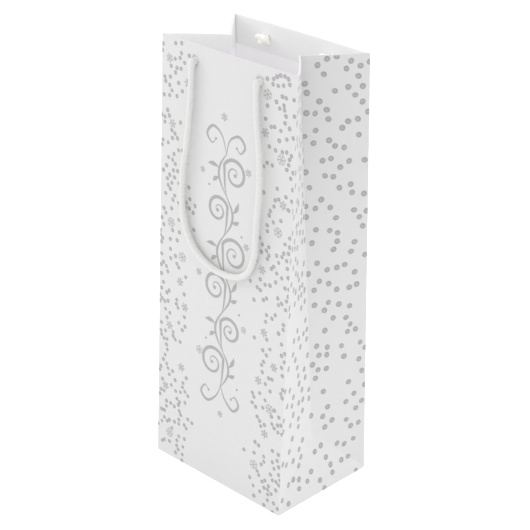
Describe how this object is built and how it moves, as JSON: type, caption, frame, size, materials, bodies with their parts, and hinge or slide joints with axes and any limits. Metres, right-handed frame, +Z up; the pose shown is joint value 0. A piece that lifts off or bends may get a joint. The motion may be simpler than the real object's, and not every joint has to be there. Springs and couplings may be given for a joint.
{
  "type": "wine gift bag",
  "caption": "Tall narrow paper gift bag for one wine bottle, with creased side gussets, a block bottom, a turned-in top hem and two knotted cord handles.",
  "frame": {"origin": "on the ground under the middle of the base", "axes": "+Z up towards the mouth, -Y out of the front panel, +X towards the right gusset seen from the front"},
  "size_m": [0.1332, 0.097, 0.3428],
  "materials": {
    "paper": "satin",
    "ink": "satin",
    "card": "matte",
    "cord": "matte"
  },
  "bodies": {
    "base": {"bottom_front_flap": "paper", "bottom_back_flap": "paper", "bottom_left_flap": "paper", "bottom_right_flap": "paper", "base_board": "card"},
    "front_panel": {"front_panel": "paper", "front_top_card": "card", "front_hem": "paper", "front_left_knot": "cord", "front_right_knot": "cord"},
    "back_panel": {"back_panel": "paper", "back_top_card": "card", "back_hem": "paper", "back_left_knot": "cord", "back_right_knot": "cord"},
    "right_gusset_front": {"right_gusset_front": "paper", "right_gusset_front_hem": "paper"},
    "right_gusset_back": {"right_gusset_back": "paper", "right_gusset_back_hem": "paper"},
    "left_gusset_front": {"left_gusset_front": "paper", "left_gusset_front_hem": "paper"},
    "left_gusset_back": {"left_gusset_back": "paper", "left_gusset_back_hem": "paper", "side_seam_tab": "paper"},
    "right_base_triangle": {"right_base_triangle": "paper"},
    "left_base_triangle": {"left_base_triangle": "paper"},
    "front_handle": {"front_handle_cord": "cord"},
    "back_handle": {"back_handle_cord": "cord"}
  },
  "joints": [
    {"name": "mouth_fold", "type": "hinge", "parent": "base", "child": "front_panel", "pos_m": [0, -0.0485, 0], "axis": [-1, 0, 0], "range_deg": [0, 2.7]},
    {"name": "back_panel_fold", "type": "hinge", "parent": "base", "child": "back_panel", "pos_m": [0, 0.0485, 0], "axis": [1, 0, 0], "range_deg": [0, 2.7]},
    {"name": "right_gusset_front_fold", "type": "hinge", "parent": "front_panel", "child": "right_gusset_front", "pos_m": [0.067, -0.0485, 0], "axis": [0, 0.0358, 0.9994], "range_deg": [0, 23.86]},
    {"name": "right_gusset_back_fold", "type": "hinge", "parent": "back_panel", "child": "right_gusset_back", "pos_m": [0.067, 0.0485, 0], "axis": [0, 0.0358, -0.9994], "range_deg": [0, 23.86]},
    {"name": "left_gusset_front_fold", "type": "hinge", "parent": "front_panel", "child": "left_gusset_front", "pos_m": [-0.067, -0.0485, 0], "axis": [0, -0.0358, -0.9994], "range_deg": [0, 23.86]},
    {"name": "left_gusset_back_fold", "type": "hinge", "parent": "back_panel", "child": "left_gusset_back", "pos_m": [-0.067, 0.0485, 0], "axis": [0, -0.0358, 0.9994], "range_deg": [0, 23.86]},
    {"name": "right_base_triangle_fold", "type": "hinge", "parent": "base", "child": "right_base_triangle", "pos_m": [0.067, 0, 0], "axis": [0, -1, 0], "range_deg": [0, 7.79]},
    {"name": "left_base_triangle_fold", "type": "hinge", "parent": "base", "child": "left_base_triangle", "pos_m": [-0.067, 0, 0], "axis": [0, 1, 0], "range_deg": [0, 7.79]},
    {"name": "front_handle_swing", "type": "hinge", "parent": "front_panel", "child": "front_handle", "pos_m": [0, -0.03966, 0.33089], "axis": [-1, 0, 0], "range_deg": [0, 180]},
    {"name": "back_handle_swing", "type": "hinge", "parent": "back_panel", "child": "back_handle", "pos_m": [0, 0.03966, 0.33089], "axis": [1, 0, 0], "range_deg": [0, 180]}
  ],
  "couplings": [
    {"joint": "back_panel_fold", "follows": "mouth_fold", "ratio": 1},
    {"joint": "right_gusset_front_fold", "follows": "mouth_fold", "ratio": 8.835},
    {"joint": "right_gusset_back_fold", "follows": "mouth_fold", "ratio": 8.835},
    {"joint": "left_gusset_front_fold", "follows": "mouth_fold", "ratio": 8.835},
    {"joint": "left_gusset_back_fold", "follows": "mouth_fold", "ratio": 8.835},
    {"joint": "right_base_triangle_fold", "follows": "mouth_fold", "ratio": 2.883},
    {"joint": "left_base_triangle_fold", "follows": "mouth_fold", "ratio": 2.883}
  ]
}
